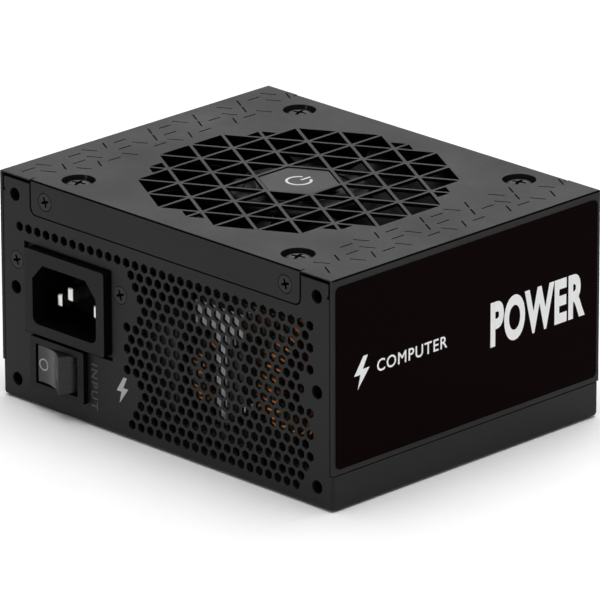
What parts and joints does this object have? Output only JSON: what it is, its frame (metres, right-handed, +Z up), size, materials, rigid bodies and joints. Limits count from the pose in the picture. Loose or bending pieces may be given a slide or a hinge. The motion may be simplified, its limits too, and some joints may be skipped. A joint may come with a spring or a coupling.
{
  "type": "power supply unit",
  "caption": "Compact computer power supply: vented steel case with a top fan under a lattice grille, mains inlet, rocker switch and rear modular sockets.",
  "frame": {"origin": "centre of the case's flat underside", "axes": "+Z up through the fan grille, +X along the case's width, -Y out of the panel with the mains inlet"},
  "size_m": [0.1254, 0.106, 0.0635],
  "materials": {
    "painted_steel": "satin black powder coat",
    "grille_steel": "satin dark grey powder coat",
    "badge_metal": "satin",
    "label_film": "semi-gloss film",
    "black_plastic": "fine moulded texture",
    "socket_plastic": "moulded",
    "fan_plastic": "moulded",
    "rocker_plastic": "semi-gloss",
    "screw_steel": "black zinc plate",
    "plated_brass": "nickel plated",
    "shaft_steel": "ground",
    "bearing_bronze": "sintered",
    "copper_wire": "enamelled winding wire",
    "board_green": "solder mask",
    "insulating_film": "translucent film",
    "heatsink_aluminium": "milled",
    "capacitor_sleeve": "shrink sleeve",
    "film_capacitor": "moulded case",
    "ferrite": "sintered",
    "winding_tape": "polyester tape"
  },
  "bodies": {
    "case": {"chassis": "painted_steel", "top_cover": "grille_steel", "badge": "badge_metal", "side_label_right": "label_film", "side_label_left": "label_film", "fan_frame": "fan_plastic", "fan_bearing": "bearing_bronze", "fan_stator": "copper_wire", "fan_board": "board_green", "main_board": "board_green", "modular_board": "board_green", "control_board": "board_green", "fan_screw_1": "screw_steel", "fan_screw_2": "screw_steel", "fan_screw_3": "screw_steel", "fan_screw_4": "screw_steel", "cover_screw_1": "screw_steel", "cover_screw_2": "screw_steel", "cover_screw_3": "screw_steel", "cover_screw_4": "screw_steel", "inlet_screw_1": "screw_steel", "inlet_screw_2": "screw_steel", "board_screw_1": "screw_steel", "board_screw_2": "screw_steel", "board_screw_3": "screw_steel", "board_screw_4": "screw_steel", "inlet_housing": "black_plastic", "switch_bezel": "black_plastic", "modular_socket_18_pin": "socket_plastic", "modular_socket_10_pin": "socket_plastic", "modular_socket_8_pin_a": "socket_plastic", "modular_socket_8_pin_b": "socket_plastic", "modular_socket_8_pin_c": "socket_plastic", "modular_socket_8_pin_d": "socket_plastic", "modular_socket_6_pin_a": "socket_plastic", "modular_socket_6_pin_b": "socket_plastic", "modular_socket_6_pin_c": "socket_plastic", "inlet_pin_line": "plated_brass", "inlet_pin_neutral": "plated_brass", "inlet_pin_earth": "plated_brass", "switch_terminal_line": "plated_brass", "switch_terminal_load": "plated_brass", "insulating_sheet": "insulating_film", "primary_heatsink": "heatsink_aluminium", "secondary_heatsink": "heatsink_aluminium", "bulk_capacitor": "capacitor_sleeve", "output_capacitor_1": "capacitor_sleeve", "output_capacitor_2": "capacitor_sleeve", "output_capacitor_3": "capacitor_sleeve", "output_capacitor_4": "capacitor_sleeve", "x_capacitor": "film_capacitor", "emi_choke": "copper_wire", "common_mode_choke": "copper_wire", "pfc_choke": "copper_wire", "transformer_core": "ferrite", "transformer_winding": "winding_tape"},
    "fan_rotor": {"fan_rotor": "fan_plastic", "fan_shaft": "shaft_steel"},
    "switch_rocker": {"switch_rocker": "rocker_plastic"}
  },
  "joints": [
    {"name": "fan_spin", "type": "hinge", "parent": "case", "child": "fan_rotor", "pos_m": [0, 0, 0.055], "axis": [0, 0, 1], "continuous": true},
    {"name": "rocker_tilt", "type": "hinge", "parent": "case", "child": "switch_rocker", "pos_m": [-0.03975, -0.0468, 0.01295], "axis": [0, 0, 1], "range_deg": [0, 34]}
  ]
}
